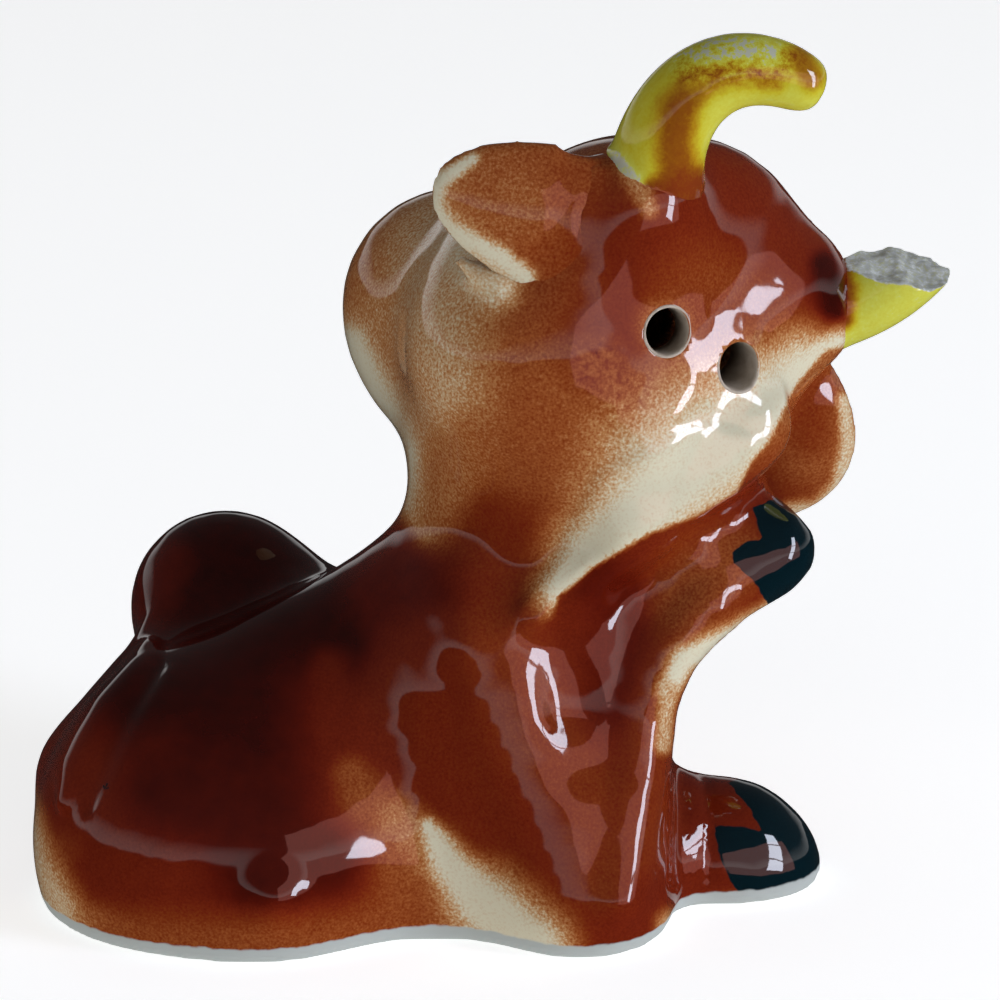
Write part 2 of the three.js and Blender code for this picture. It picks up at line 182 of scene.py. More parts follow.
# The sizes of the lights and the stage are in metres, and the powers in watts
WINDOW = {"rows": 3, "bar": 0.02, "lean": 24}
PANE = {
    "toward": (0.88, -0.46, 0.22), "distance": 0.75, "size": (0.16, 0.2),
    "power": 1.4, "color": (0.78, 0.85, 1),
}
SOFT_BOXES = {
    "rosy_card": {
        "toward": (0.72, -0.68, 0.12), "distance": 1.1, "size": (1.5, 0.8),
        "power": 5.5, "color": (1, 0.42, 0.36), "lights": False,
    },
    "ceiling_light": {
        "toward": (-0.1, 0.2, 1), "distance": 0.8, "size": (0.9, 0.6),
        "power": 0.8, "seen": False,
    },
    "front_fill": {
        "toward": (-0.15, -0.8, 0.75), "distance": 1.1, "size": (1, 0.7),
        "power": 1.3, "seen": False,
    },
}
# How bright the surroundings are at each height: 0 is level or lower, 1 is straight up
SKY = [(0, 0.02), (0.02, 0.75), (0.1, 0.6), (0.2, 0.06), (1, 0.04)]
STAGE_RADIUS = 1.6
FLOOR = {"shade": 0.86, "glow": 0.67}
BACKDROP = {"shade": 0, "glow": 0.86}


def soft_box(name, toward, distance, size, power, color=(1, 1, 1), seen=True, lights=True):
    """A rectangular light aimed at the middle of the cow. The glaze may show it or not."""
    data = bpy.data.lights.new(name, "AREA")
    data.shape = "RECTANGLE"
    data.size, data.size_y = size
    data.energy = power
    data.color = color
    light = new_object(name, data)
    direction = Vector(toward).normalized()
    light.location = spot(*CAMERA["aim"]) + direction * distance
    light.rotation_euler = (-direction).to_track_quat("-Z", "Y").to_euler()
    light.visible_camera = False
    light.visible_glossy = seen
    light.visible_diffuse = lights
    return light


def set_window():
    """A tall window to the right, with bars between its panes, which shows in the glaze."""
    lean = turned(-WINDOW["lean"], "Z")
    pitch = PANE["size"][1] + WINDOW["bar"]
    for row in range(WINDOW["rows"]):
        pane = soft_box(f"pane_{row}", **PANE)
        turn = pane.rotation_euler.to_matrix() @ lean
        pane.rotation_euler = turn.to_euler()
        pane.location += turn @ Vector((0, (row - (WINDOW["rows"] - 1) / 2) * pitch, 0))


def set_world():
    """Surroundings that are bright near level, so that the glaze shows a horizon."""
    world = bpy.data.worlds.new("studio")
    world.use_nodes = True
    direction = step(world, "ShaderNodeTexCoord").outputs["Generated"]
    height = step(world, "ShaderNodeSeparateXYZ", {0: direction}).outputs["Z"]
    color = toned(world, height, [(place, (level, level, level)) for place, level in SKY])
    fill(world, world.node_tree.nodes["Background"], {"Color": color})
    bpy.context.scene.world = world
    bpy.context.scene.view_settings.view_transform = "Standard"


def pale_piece(shape, name, shade, glow):
    """A matt piece with a glow of its own, which doesn't show in the glaze."""
    piece = piece_of(shape, name)
    material, shader = recipe(f"pale_{name}")
    fill(material, shader, {
        "Base Color": (shade, shade, shade, 1), "Specular IOR Level": 0,
        "Emission Color": (1, 1, 1, 1), "Emission Strength": glow,
    })
    piece.data.materials.append(material)
    piece.visible_glossy = False
    return piece


def set_stage():
    """A pale floor, and a dome behind everything that gives no light."""
    disc = bmesh.new()
    bmesh.ops.create_circle(disc, cap_ends=True, segments=96, radius=STAGE_RADIUS)
    floor = pale_piece(disc, "floor", **FLOOR)
    ball = bmesh.new()
    bmesh.ops.create_uvsphere(ball, u_segments=64, v_segments=32, radius=STAGE_RADIUS)
    dome = pale_piece(ball, "backdrop", **BACKDROP)
    dome.visible_diffuse = False
    dome.visible_shadow = False


# Working the clay

def clay_of(node):
    """The merged mesh of a CAD node, to work on."""
    shape = bmesh.new()
    shape.from_mesh(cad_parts[node].data)
    bmesh.ops.remove_doubles(shape, verts=shape.verts, dist=1e-7)
    return shape


def settle(piece):
    """Applies the piece's modifiers."""
    view = bpy.context.evaluated_depsgraph_get()
    old = piece.data
    piece.data = bpy.data.meshes.new_from_object(piece.evaluated_get(view))
    piece.modifiers.clear()
    piece.data.name = piece.name
    bpy.data.meshes.remove(old)
    piece.data.shade_smooth()
    return piece


def knead(piece, voxel, rounds):
    """Gives a piece an even mesh and rubs its facets smooth."""
    even = piece.modifiers.new("even", "REMESH")
    even.mode = "VOXEL"
    even.voxel_size = voxel * MM
    rubbed = piece.modifiers.new("rubbed", "SMOOTH")
    rubbed.factor = RUB
    rubbed.iterations = rounds
    return settle(piece)


def rub(piece, spots, reach, rounds):
    """Rubs a piece smooth round some points of the row frame."""
    shape = bmesh.new()
    shape.from_mesh(piece.data)
    near = [
        corner for corner in shape.verts
        if min((corner.co - middle).length for middle in spots) < reach * MM
    ]
    for _ in range(rounds):
        bmesh.ops.smooth_vert(
            shape, verts=near, factor=RUB, use_axis_x=True, use_axis_y=True, use_axis_z=True,
        )
    shape.to_mesh(piece.data)
    shape.free()


def cut(piece, tool):
    """Takes the tool's shape out of the piece."""
    taken = piece.modifiers.new("taken", "BOOLEAN")
    taken.operation = "DIFFERENCE"
    taken.solver = "EXACT"
    taken.object = tool
    settle(piece)
    bpy.data.objects.remove(tool)


def rows_of(items, name):
    """The three numbers that each item keeps under a name, one row each."""
    flat = np.empty(len(items) * 3)
    items.foreach_get(name, flat)
    return flat.reshape(-1, 3)


def places(piece):
    """The piece's corners in the potter's frame."""
    return (rows_of(piece.data.vertices, "co") - np.array(SHIFT)) / MM


def facings(piece):
    """The direction that each corner of the piece faces."""
    return rows_of(piece.data.vertex_normals, "vector")


def put(piece, points):
    """Moves the piece's corners to places in the potter's frame."""
    flat = (points * MM + np.array(SHIFT)).ravel()
    piece.data.vertices.foreach_set("co", flat)
    piece.data.update()


def eased(share):
    """A share held between 0 and 1, with a gentle start and end."""
    share = np.clip(share, 0, 1)
    return share * share * (3 - 2 * share)


def from_line(points, start, end):
    """How far points are from the line between two others, and how far along it they are."""
    along = end - start
    length = max(along @ along, 1e-12)
    share = np.clip((points - start) @ along / length, 0, 1)
    return np.linalg.norm(points - start - share[:, None] * along, axis=1), share


def nearness(points, path, fullness=1.4):
    """1 on a path, falling to 0 at its reach. Each stop of the path ends with its reach."""
    stops = np.array(path, float)
    if len(stops) == 1:
        stops = np.repeat(stops, 2, axis=0)
    nearest = np.full(len(points), np.inf)
    for start, end in zip(stops[:-1], stops[1:]):
        away, share = from_line(points, start[:-1], end[:-1])
        nearest = np.minimum(nearest, away / (start[-1] + share * (end[-1] - start[-1])))
    return eased(fullness * (1 - nearest))


def in_picture(points):
    """Where places of the potter's frame land in the photograph, in pixels."""
    right, up, forward = (np.array(axis) for axis in view_axes())
    away = points - CAMERA["aim"]
    depth = CAMERA["distance"] + away @ forward
    scale = PICTURE * CAMERA["focal"] / CAMERA["sensor"] / depth
    return np.stack([PICTURE / 2 + away @ right * scale, PICTURE / 2 - away @ up * scale], axis=1)


def bore_mouth(tree, near, turn):
    """Where a pour hole comes out of the skin, in the row frame, and the way it points."""
    axis = head_turn() @ turned(turn, "Z") @ Vector((0, -1, 0))
    middle = on_head(*near)
    across = axis.orthogonal().normalized()
    heights = []
    for ray in range(MOUTH_RING["rays"]):
        spoke = Matrix.Rotation(2 * math.pi * ray / MOUTH_RING["rays"], 3, axis) @ across
        start = middle + axis * MOUTH_RING["above"] + spoke * POUR_RADIUS * MOUTH_RING["spread"]
        hit = tree.ray_cast(spot(*start), -axis)[0]
        heights.append((hit - spot(*middle)).dot(axis))
    return spot(*middle) + axis * (sum(heights) / len(heights)), axis


def add_rod(shape, start, end, radius, sides=32):
    """A closed rod between two points of the row frame."""
    along = end - start
    turn = along.to_track_quat("Z", "Y").to_matrix().to_4x4()
    bmesh.ops.create_cone(
        shape, cap_ends=True, segments=sides, radius1=radius, radius2=radius,
        depth=along.length, matrix=Matrix.Translation((start + end) / 2) @ turn,
    )


# The casting

# The cheek's edge over the shoulder, in the photograph's pixels, and the clay that it raises
CHEEK_EDGE = [
    (520, 626), (536, 631), (551, 618), (560, 594), (572, 587), (594, 567), (628, 547), (650, 534),
    (698, 516), (737, 492),
]
TONGUE = [(600, 470), (560, 550), (530, 587), (514, 611), *CHEEK_EDGE, (760, 440), (700, 420)]
TONGUE_HEIGHT = 0.35
TONGUE_SLOPE = 14  # pixels over which it rises

# Forms on the side in the photograph: how high in mm, and where, in its pixels
NEAR_FORMS = [
    ("pocket", -1.0, [(576, 550, 52), (552, 605, 56), (566, 710, 44)]),
    ("leg_ridge", 1.0, [
        (712, 610, 40), (674, 650, 46), (654, 710, 46), (644, 790, 42), (622, 900, 36),
    ]),
    ("shoulder", 0.7, [(452, 580, 60), (462, 630, 58)]),
    ("shoulder_valley", -0.3, [(440, 640, 36), (452, 740, 40), (500, 860, 40)]),
    ("leg_crease", -0.35, [(676, 766, 10), (682, 810, 12), (676, 880, 12)]),
    ("leg_crease", -0.25, [(704, 775, 9), (712, 820, 11), (706, 880, 11)]),
    ("near_knee", 1.1, [(276, 898, 46)]),
    ("brow_ridge", 0.8, [(838, 215, 60), (800, 286, 64), (760, 332, 56), (740, 372, 36)]),
    ("cheek_ridge", 0.5, [(712, 362, 30), (690, 392, 42), (650, 444, 48)]),
    ("tail_cord", 0.6, [(150, 648, 16), (104, 706, 24), (72, 765, 26), (64, 806, 10)]),
    ("tail_groove", -0.35, [(160, 664, 12), (124, 718, 20), (98, 775, 20), (88, 810, 8)]),
]

# Airbrushed colour and a painted shade on the side in the photograph: how dense, and where, in its
# pixels
NEAR_SPRAY_AND_SHADE = [
    ("haunch", 0.96, [(140, 690, 90), (225, 670, 150), (235, 745, 120)]),
    ("thigh", 0.93, [(170, 790, 80), (262, 810, 80)]),
    ("far_knee", 0.97, [(195, 560, 100), (290, 600, 100)]),
    ("far_knee_side", 0.9, [(150, 610, 40), (168, 560, 40)]),
    ("loin", 0.96, [(330, 610, 80), (345, 650, 60)]),
    ("withers", 0.88, [(380, 590, 60), (440, 575, 56)]),
    ("flank", 0.77, [(410, 690, 80), (450, 760, 64), (500, 850, 70), (540, 890, 60)]),
    ("groin", 0.82, [(330, 670, 34), (342, 730, 36)]),
    ("belly", 0.58, [(352, 775, 30), (378, 820, 60), (400, 850, 60), (420, 895, 80)]),
    ("near_knee", 0.92, [(255, 870, 80), (325, 860, 64)]),
    ("tail_side", 0.7, [(62, 850, 30)]),
    ("rump_edge", 0.15, [(24, 800, 24), (30, 860, 40), (64, 928, 48), (120, 958, 50)]),
    ("foot_edge", 0.6, [(110, 948, 60), (200, 952, 60), (300, 950, 54), (400, 935, 60)]),
    ("belly_edge", 0.4, [(398, 818, 34), (432, 850, 44)]),
    ("streak", 0.0, [(428, 826, 14), (452, 868, 38), (485, 905, 66), (535, 948, 66)]),
    ("shoulder", 0.7, [(500, 640, 70), (540, 740, 80), (590, 800, 60), (600, 880, 50)]),
    # Painted shade: the hollow between the shoulder and the foreleg is sprayed darker than the clay
    # round it
    ("pocket", 0.88, [(600, 580, 50), (632, 620, 66), (618, 700, 56)]),
    ("forearm", 0.72, [(690, 560, 60), (672, 640, 40), (648, 720, 36), (640, 840, 60)]),
    ("pastern", 0.6, [(690, 600, 60), (735, 560, 60)]),
    ("pastern_rim", 0.0, [(668, 690, 20), (684, 660, 26), (740, 634, 26), (778, 608, 20)]),
    ("chest_rim", 0.2, [(668, 690, 16), (663, 745, 16)]),
    ("heel", 0.2, [(672, 925, 26), (740, 905, 20), (815, 885, 14)]),
    ("muzzle", 0.42, [(370, 225, 70), (350, 280, 60)]),
    ("jaw", 0.2, [(440, 250, 90), (455, 320, 130), (470, 400, 110)]),
    ("jaw_edge", 0.0, [
        (350, 345, 30), (378, 415, 44), (402, 460, 40), (416, 500, 34), (428, 530, 20),
    ]),
    ("throat", 0.42, [(470, 440, 50), (450, 480, 50), (440, 520, 50)]),
    ("nape", 0.74, [(490, 550, 70), (520, 590, 60)]),
    ("temple", 0.56, [(545, 330, 100), (540, 450, 90)]),
    ("crown", 0.64, [(560, 220, 110), (580, 270, 110)]),
    ("forehead", 0.78, [(640, 240, 100), (650, 300, 100), (612, 340, 80)]),
    ("poll", 0.78, [(690, 190, 110), (770, 230, 110), (815, 290, 80)]),
    ("brow", 0.66, [(700, 300, 80), (760, 310, 60)]),
    ("ring", 0.36, [(665, 327, 40)]),
    ("stub_collar", 0.96, [(824, 264, 24), (832, 290, 34), (832, 312, 24)]),
    ("patch", 0.62, [(598, 365, 44), (628, 402, 44)]),
    ("under_ear", 0.1, [(462, 250, 40), (496, 286, 40)]),
    ("slip", 0.34, [(624, 166, 16), (640, 188, 20), (650, 210, 14)]),
]
# The cream cheek, and the outline that keeps it off the shoulder
CHEEK = [
    (838, 345, 30), (805, 372, 70), (765, 415, 110), (715, 450, 130), (672, 480, 130),
    (630, 524, 104), (594, 550, 80), (560, 590, 46),
]
HEAD_SIDE = [
    (300, 100), (900, 100), (900, 330), (850, 345), (825, 352), (796, 385), (770, 440), (752, 462),
    *CHEEK_EDGE[::-1], (510, 606), (500, 560), (300, 560),
]
HEAD_SIDE_SLOPE = 5  # pixels over which the cream stops at the outline
STIPPLE = [(598, 365, 46), (628, 402, 46)]
# How full a stroke is: more gives it a wider middle and a sharper edge
STROKE = 1.2
CHEEK_STROKE = 1.1
SPECK = {"at": (106, 786), "radius": 0.3}
BARE_RIM = 1.5  # height of the bare clay round the foot

# What turns away from the camera, or lies some millimetres behind other clay, fades out
TURNED = {"from": -0.05, "over": 0.3}
HIDDEN = {"from": 1, "over": 4}


def inside_outline(points, outline):
    """Distance in from a closed outline, in its own unit: negative outside."""
    stops = np.array(outline, float)
    nearest = np.full(len(points), np.inf)
    within = np.zeros(len(points), bool)
    for start, end in zip(stops, np.roll(stops, -1, axis=0)):
        nearest = np.minimum(nearest, from_line(points, start, end)[0])
        crosses = (start[1] > points[:, 1]) != (end[1] > points[:, 1])
        rise = end[1] - start[1] or 1
        at = start[0] + (points[:, 1] - start[1]) / rise * (end[0] - start[0])
        within ^= crosses & (points[:, 0] < at)
    return np.where(within, nearest, -nearest)


def faces_camera(piece):
    """How far each corner is turned to the camera of the photograph, from 0 to 1."""
    towards = facings(piece) @ -np.array(view_axes()[2])
    return eased((towards - TURNED["from"]) / TURNED["over"])


def shown(piece):
    """How far each corner shows in the photograph, from 0 to 1: not where the cow hides it."""
    tree = skin_of(piece)
    camera = spot(*CAMERA["aim"]) - view_axes()[2] * CAMERA["distance"] * MM
    open_to_view = faces_camera(piece)
    for corner in piece.data.vertices:
        if open_to_view[corner.index] > 0:
            ray = corner.co - camera
            hit = tree.ray_cast(camera, ray)[0]
            behind = (ray.length - (hit - camera).length) / MM if hit else 0
            open_to_view[corner.index] *= 1 - eased((behind - HIDDEN["from"]) / HIDDEN["over"])
    return open_to_view


def work_near_side(body):
    """Presses and raises the forms that the photograph shows on the near side."""
    points = places(body)
    seen = in_picture(points)
    lift = np.zeros(len(points))
    for _, height, path in NEAR_FORMS:
        lift += height * nearness(seen, path, 1)
    lift += TONGUE_HEIGHT * eased(inside_outline(seen, TONGUE) / TONGUE_SLOPE + 0.5)
    lift *= faces_camera(body)
    put(body, points + facings(body) * lift[:, None])


# The face, which the photograph hides: a plain calf's face, in the head's own frame. A ring is
# its height, how far out it is in half widths of the eye or nostril, and half its width, and a
# mound is its height, its fullness and its reach
EYE = {
    "at": (6.8, 8.2, 5.6), "across": (0.85, -0.53, 0), "along": (-0.39, -0.63, 0.67),
    "half": (2.3, 3.0), "reach": 7, "bulge": (0.8, 1.25, 1), "socket": (-0.35, 1.3, 0.5),
    "lid": (0.45, 1.12, 0.24),
}
EYE_LINE = {"out": 1.04, "half": 0.3, "thinner": 0.6, "scale": 2.5}
PUPIL = {"radius": 1.45, "drop": 0.3}
GLINT = {"radius": 0.42, "side": 0.5, "up": 0.4}
LASHES = {"angles": (25, 50, 75), "length": 1.3, "half": 0.28}
NOSTRIL = {
    "at": (3.7, 27, -3.4), "half": (1.25, 0.8), "lean": 30, "reach": 5, "hollow": (-0.8, 1.3, 1.2),
    "rim": (0.25, 1.5, 0.6), "black": 0.85, "scale": 0.9,
}
MOUTH = {
    "half": 6.4, "middle": -11.4, "rise": 2.6, "front": 18, "groove": (-0.45, 1, 1.1), "line": 0.3,
}
FINE = {"eye": 2, "nostril": 2, "mouth": 1.6}


def in_head(points):
    """Places of the potter's frame, in the head's frame."""
    return (points - HEAD["at"]) @ np.array(head_turn())


def eye_parts(face, side):
    """Across, up and how far out from the middle of an eye each corner is: 1 on its outline."""
    mirror = np.array((side, 1, 1))
    away = face - EYE["at"] * mirror
    across = away @ (EYE["across"] * mirror)
    up = away @ (EYE["along"] * mirror)
    out = np.hypot(across / EYE["half"][0], up / EYE["half"][1])
    return across, up, np.where(np.linalg.norm(away, axis=1) < EYE["reach"], out, FAR)


def nostril_parts(face, side):
    """How far out from the middle of a nostril each corner is: 1 on its outline."""
    away = face - NOSTRIL["at"] * np.array((side, 1, 1))
    lean = math.radians(NOSTRIL["lean"]) * side
    across = away[:, 0] * math.cos(lean) + away[:, 2] * math.sin(lean)
    up = away[:, 2] * math.cos(lean) - away[:, 0] * math.sin(lean)
    out = np.hypot(across / NOSTRIL["half"][0], up / NOSTRIL["half"][1])
    return np.where(np.abs(away[:, 1]) < NOSTRIL["reach"], out, FAR)


def mouth_parts(face):
    """Distance from the line of the mouth, in mm."""
    side, forward, up = face.T
    share = np.clip(side / MOUTH["half"], -1, 1)
    line = MOUTH["middle"] + MOUTH["rise"] * share ** 2
    away = np.hypot(up - line, side - share * MOUTH["half"])
    return np.where(forward > MOUTH["front"], away, FAR)


def refine(piece):
    """Gives the face a finer mesh."""
    face = in_head(places(piece))
    fine = mouth_parts(face) < FINE["mouth"]
    for side in (1, -1):
        fine |= eye_parts(face, side)[2] < FINE["eye"]
        fine |= nostril_parts(face, side) < FINE["nostril"]
    shape = bmesh.new()
    shape.from_mesh(piece.data)
    edges = [link for link in shape.edges if all(fine[corner.index] for corner in link.verts)]
    bmesh.ops.subdivide_edges(shape, edges=edges, cuts=1, use_grid_fill=True)
    shape.to_mesh(piece.data)
    shape.free()


def mound(away, height, fullness, reach):
    """The height of a mound or a hollow."""
    return height * eased(fullness * (1 - away / reach))


def ring(out, height, middle, half):
    """The height of a ring."""
    return mound(np.abs(out - middle), height, 1, half)


def work_face(piece):
    """Models the eyes, nostrils and mouth."""
    refine(piece)
    points = places(piece)
    face = in_head(points)
    lift = np.zeros(len(points))
    for side in (1, -1):
        _, up, out = eye_parts(face, side)
        lift += mound(out, *EYE["bulge"])
        lift += ring(out, *EYE["socket"])
        lift += ring(out, *EYE["lid"]) * eased(up / 2 + 0.4)
        out = nostril_parts(face, side)
        lift += mound(out, *NOSTRIL["hollow"])
        lift += ring(out, *NOSTRIL["rim"])
    lift += mound(mouth_parts(face), *MOUTH["groove"])
    put(piece, points + facings(piece) * lift[:, None])


def face_paint(face, spray, ink):
    """The density of the spray and the distance from the black, with the face painted in."""
    for side in (1, -1):
        across, up, out = eye_parts(face, side)
        spray = spray * eased((out - 0.95) / 0.1)
        pupil = np.hypot(across, up + PUPIL["drop"]) - PUPIL["radius"]
        glint = GLINT["radius"] - np.hypot(across - GLINT["side"], up - GLINT["up"])
        ink = np.minimum(ink, np.where(out < 1, np.maximum(pupil, glint), FAR))
        line = np.abs(out - EYE_LINE["out"]) * EYE_LINE["scale"] - EYE_LINE["half"]
        line += EYE_LINE["thinner"] * eased(-up)
        ink = np.minimum(ink, np.where(out < 2, line, FAR))
        for angle in LASHES["angles"]:
            lean = np.array((math.cos(math.radians(angle)), math.sin(math.radians(angle))))
            root = lean * EYE["half"]
            away, _ = from_line(np.stack([across, up], 1), root, root + lean * LASHES["length"])
            ink = np.minimum(ink, np.where(out < 2.4, away - LASHES["half"], FAR))
        nostril = (nostril_parts(face, side) - NOSTRIL["black"]) * NOSTRIL["scale"]
        ink = np.minimum(ink, nostril)
    return spray, np.minimum(ink, mouth_parts(face) - MOUTH["line"])


def keep(piece, **numbers):
    """Keeps numbers for each corner of the piece, under the names that its material reads."""
    count = len(piece.data.vertices)
    for name, values in numbers.items():
        layer = piece.data.attributes.new(name, "FLOAT", "POINT")
        layer.data.foreach_set("value", np.broadcast_to(values, count).astype(np.float32))


# The hooves' outlines in the photograph's pixels, and the ball round each that holds its black
UPPER_HOOF = [
    (752, 508), (757, 524), (762, 539), (748, 541), (732, 550), (733, 562), (752, 578), (768, 604),
    (790, 612), (840, 560), (830, 500), (780, 496),
]
LOWER_HOOF = [
    (713, 824), (734, 827), (753, 828), (764, 833), (750, 810), (735, 790), (728, 782), (800, 760),
    (850, 860), (820, 905), (744, 899), (730, 880), (718, 850),
]
HOOVES = [(UPPER_HOOF, (22, -6, 29.5), 9.5), (LOWER_HOOF, (23, -3, 1), 11)]

# Airbrushed colour on the far side in the potter's frame, and on the face in the head's
FAR_SPRAY = [
    (0.97, [(-20, 14, 20, 20), (-26, 12, 12, 16)]),
    (0.9, [(-4, 10, 26, 12), (4, 8, 32, 10)]),
    (0.45, [(-30, 20, 1, 7), (-14, 23, 1, 7), (6, 20, 1, 7)]),
    (0.1, [(15, 9, 26, 11), (13, 8, 10, 12)]),
]
FACE_SPRAY = [
    (0.72, [(0, 0, 12, 15), (0, 8, 9, 9)]),
    (0.25, [(8, 14, 0, 9), (8, 20, -12, 9)]),
    (0.25, [(-8, 14, 0, 9), (-8, 20, -12, 9)]),
    (0.05, [(0, 27, -4, 12), (0, 26, -10, 13)]),
    (0.1, [(0, 18, -18, 14), (0, 8, -16, 10)]),
]
# The ground: how dense it is on the body, how much less on the head, and the height between
GROUND = {"body": 0.8, "less": 0.32, "from": 34, "over": 10}


def ground(piece):
    """The density under the strokes: dark on the body, lighter on the head and the chest."""
    points = places(piece)
    base = GROUND["body"] - GROUND["less"] * eased((points[:, 2] - GROUND["from"]) / GROUND["over"])
    for density, path in FAR_SPRAY:
        base += (density - base) * nearness(points, path, STROKE)
    face = in_head(points)
    for density, path in FACE_SPRAY:
        base += (density - base) * nearness(face, path, STROKE)
    return base


def sprayed(piece, strokes, base):
    """The density of the spray on each corner, where it is in the photograph, and how it shows."""
    seen = in_picture(places(piece))
    near = shown(piece)
    spray = np.zeros(len(seen)) + base
    for _, density, path in strokes:
        spray += (density - spray) * nearness(seen, path, STROKE) * near
    return spray, seen, near


def paint(body):
    """Sprays the casting, leaves its cheek cream and its foot bare, and paints what is black."""
    points = places(body)
    # The spray holds painted shade in the hollow by the foreleg
    spray, seen, near = sprayed(body, NEAR_SPRAY_AND_SHADE, ground(body))
    on_side = eased(inside_outline(seen, HEAD_SIDE) / HEAD_SIDE_SLOPE + 0.5)
    cheek = nearness(seen, CHEEK, CHEEK_STROKE) * on_side * near
    speck = np.linalg.norm(seen - SPECK["at"], axis=1) * PIXEL - SPECK["radius"]
    ink = speck + FAR * (1 - near)
    for outline, middle, reach in HOOVES:
        outside = -inside_outline(seen, outline) * PIXEL
        away = np.linalg.norm(points - middle, axis=1) - reach
        ink = np.minimum(ink, np.maximum(outside, away))
    spray, ink = face_paint(in_head(points), spray * (1 - cheek), ink)
    stipple = nearness(seen, STIPPLE) * near
    keep(body, spray=spray, stipple=stipple, ink=ink, bare=BARE_RIM - points[:, 2])


def plugged_clay():
    """The casting before its pour holes are drilled, and where they go."""
    shape = clay_of("cast_body")
    tree = BVHTree.FromBMesh(shape)
    bores = [bore_mouth(tree, near, turn) for _, near, turn in POUR_HOLES]
    for mouth, axis in bores:
        add_rod(shape, mouth - axis * PLUG["depth"] * MM, mouth, PLUG["radius"] * MM)
    return shape, bores


def skin_of(piece):
    """The piece's surface, to measure to."""
    return BVHTree.FromPolygons(
        [corner.co for corner in piece.data.vertices],
        [face.vertices for face in piece.data.polygons],
    )


def casting(clay, mouths):
    """The whole casting in one skin, before its pour holes are drilled."""
    forms = [rod("ear_bridge", EAR_BRIDGE), rod("ear_fold", EAR_FOLD)]
    body = knead(piece_of(pressed(clay, forms), "cow_casting"), **SKIN_MESH)
    work_near_side(body)
    work_face(body)
    rub(body, mouths, **MOUTH_RUB)
    return body


def drill(body, bores):
    """Bores the pour holes."""
    tool = bmesh.new()
    for mouth, axis in bores:
        low, high = mouth - axis * DRILL["depth"] * MM, mouth + axis * DRILL["above"] * MM
        add_rod(tool, low, high, POUR_RADIUS * MM, DRILL["sides"])
    cut(body, piece_of(tool, "drill"))


# Horns, ears, lips of the pour holes and the cork

# Each bend of a horn: how far from its root in the potter's frame, and its radius
HORN = {"side": 11.6, "back": 6.8, "up": 6.8}
HORN_BENDS = [
    (1.1, 2.2, -3, 4.3), (1.0, 1.2, -1, 4.1), (1.1, 0.5, 1, 3.8), (1.6, 0.1, 3.4, 3.6),
    (2.9, 0, 6.1, 3.35), (5.1, 0, 8.1, 3.15), (7.8, 0, 8.9, 2.9), (10.5, 0, 8.5, 2.65),
    (12.2, 0, 7.7, 2.4), (13.1, 0, 7.1, 2.1), (13.6, 0, 6.8, 1.6), (13.8, 0, 6.7, 0.8),
]
STUB_BENDS = [
    (-4, 0, -1.2, 4.4), (-1.5, 0, -0.9, 3.9), (0, 0, -0.6, 3.5), (3, 0, 0.4, 3.4),
    (6, 0, 2.4, 3.4), (8.2, 0, 4.9, 3.4), (9.6, 0, 8, 3.4),
]
INSIDE = 2  # how many of a horn's bends are inside the head
FRACTURE = {"out": 5, "up": 3.1, "tilt": 12, "lean": 12, "half": 9, "squares": 120, "lost": 12}
# The fracture's lumps, crumbs and grit: how many to a millimetre, how high, and a seed
FRACTURE_GRAIN = [(0.45, 0.55, 3.1), (1.4, 0.16, 7.7), (4, 0.06, 1.3)]
BREAK_EDGE = 0.06  # how far under the fracture its bare clay reaches
HORN_SPRAY = [
    ("side", 0.3, [(630, 165, 24), (640, 120, 24), (666, 74, 22)]),
    ("front", 0.84, [(682, 186, 38), (674, 146, 34), (678, 110, 34), (696, 84, 28)]),
    ("upper", 0.64, [(700, 80, 30), (735, 72, 26), (775, 80, 20)]),
    ("patches", 0.1, [(700, 50, 24), (745, 48, 24), (772, 56, 18)]),
    ("tip", 0.72, [(798, 58, 26), (812, 78, 22)]),
    ("root", 1.0, [(652, 194, 26), (678, 196, 40), (706, 186, 30)]),
    ("slip", 0.0, [(616, 160, 16), (634, 180, 16)]),
]
HORN_SCRATCHES = [(690, 62, 30), (735, 58, 34), (775, 62, 30)]
STUB_SPRAY = [("root", 1.0, [(836, 262, 22), (840, 290, 28), (842, 318, 20)])]
HORN_GROUND = 0.2
STUB_GROUND = 0.14

# An ear's line, the way its hollow faces, and the share of its length at which it is widest
EAR = {"half_width": 5.9, "half_thick": 0.9, "roll": 0.35, "cup": 1.1, "arch": 1.8}
NEAR_EAR = {
    "root": (-5.5, -9, 3.5), "tip": (-23.6, 0.6, -1.6), "facing": (0, -1, 0.2), "fullest": 0.45,
}
HANGING_EAR = {
    "root": (11.8, -5.5, 3.5), "tip": (22, -3.3, -10), "facing": (0.2, -1, 0.1), "fullest": 0.6,
}

# Clay that fills the crease behind the near ear, and the fold under its rim
EAR_BRIDGE = [
    (7.2, -9.4, 63, 1.4), (7.2, -10.8, 61, 1.8), (6.4, -11.2, 58.5, 1.8), (5.2, -11.6, 56.6, 1.2),
]
EAR_BRIDGE_RUB = {"reach": 3.4, "rounds": 60}
EAR_FOLD = [(-3.4, -10.6, 55.9, 0.5), (-1.2, -11.5, 54.4, 1.2), (0.6, -12.2, 54, 1.1)]

# How far an ear's clay and its smear go from a line, and a horn's past its radius
NEAR_EAR_REACH = [((-12.3, -5.3, 1.3), 7.6), ((-23.6, 0.6, -1.9), 7.2)]
HANGING_EAR_REACH = [((11, -6, 3.5), 6), ((17, -5, -4), 8), ((22, -3.3, -10), 7)]
HORN_REACH = 3.2
STUB_REACH = 3
SINK = 0.15  # how deep a luted piece's feathered edge runs under the skin
FEATHER = 0.3  # height over which it comes up out of the skin

